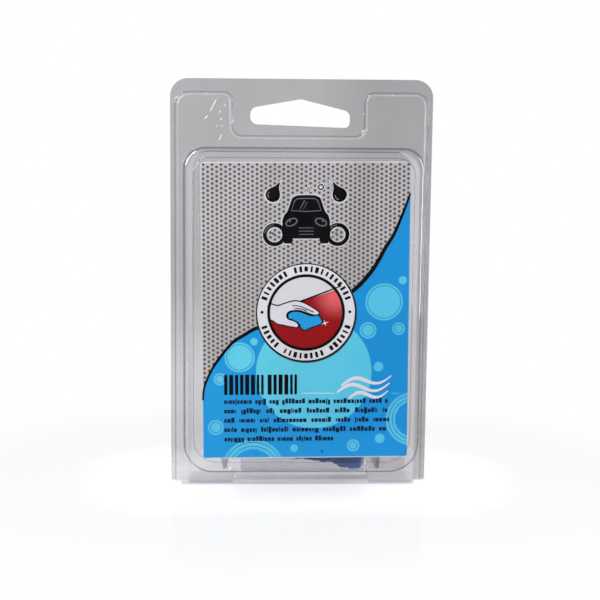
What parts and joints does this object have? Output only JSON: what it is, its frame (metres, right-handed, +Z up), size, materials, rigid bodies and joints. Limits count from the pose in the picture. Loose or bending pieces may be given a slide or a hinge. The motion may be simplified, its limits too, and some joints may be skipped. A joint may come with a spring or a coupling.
{
  "type": "clay bar in a clamshell pack",
  "caption": "Car-detailing clay bar in a clear stand-up hinged clamshell with a hang slot, a printed card behind the window and a film sleeve round the clay.",
  "frame": {"origin": "middle of the pack's footprint, on the surface it stands on", "axes": "+Z up along the pack's height, +Y from the window towards the back, +X to the right seen from the front"},
  "size_m": [0.104, 0.025, 0.165],
  "materials": {
    "clear_front": "clear, glossy thermoformed sheet",
    "clear_back": "clear, glossy thermoformed sheet",
    "clear_hinge": "clear, glossy, slightly hazed where it folds",
    "card_print": "satin varnished print on white board",
    "clay": "dull, slightly waxy",
    "film": "thin, clear, creased film"
  },
  "bodies": {
    "back_half": {"back_shell": "clear_back", "living_hinge": "clear_hinge"},
    "front_half": {"front_shell": "clear_front", "printed_card": "card_print"},
    "clay": {"clay_bar": "clay", "clay_wrapper": "film"}
  },
  "joints": [
    {"name": "lid_hinge", "type": "hinge", "parent": "back_half", "child": "front_half", "pos_m": [0, -0.00825, 0.0007], "axis": [1, 0, 0], "range_deg": [0, 180]},
    {"name": "clay_slide", "type": "slide", "parent": "back_half", "child": "clay", "axis": [0, 0, 1], "range_m": [0, 0.008]}
  ]
}
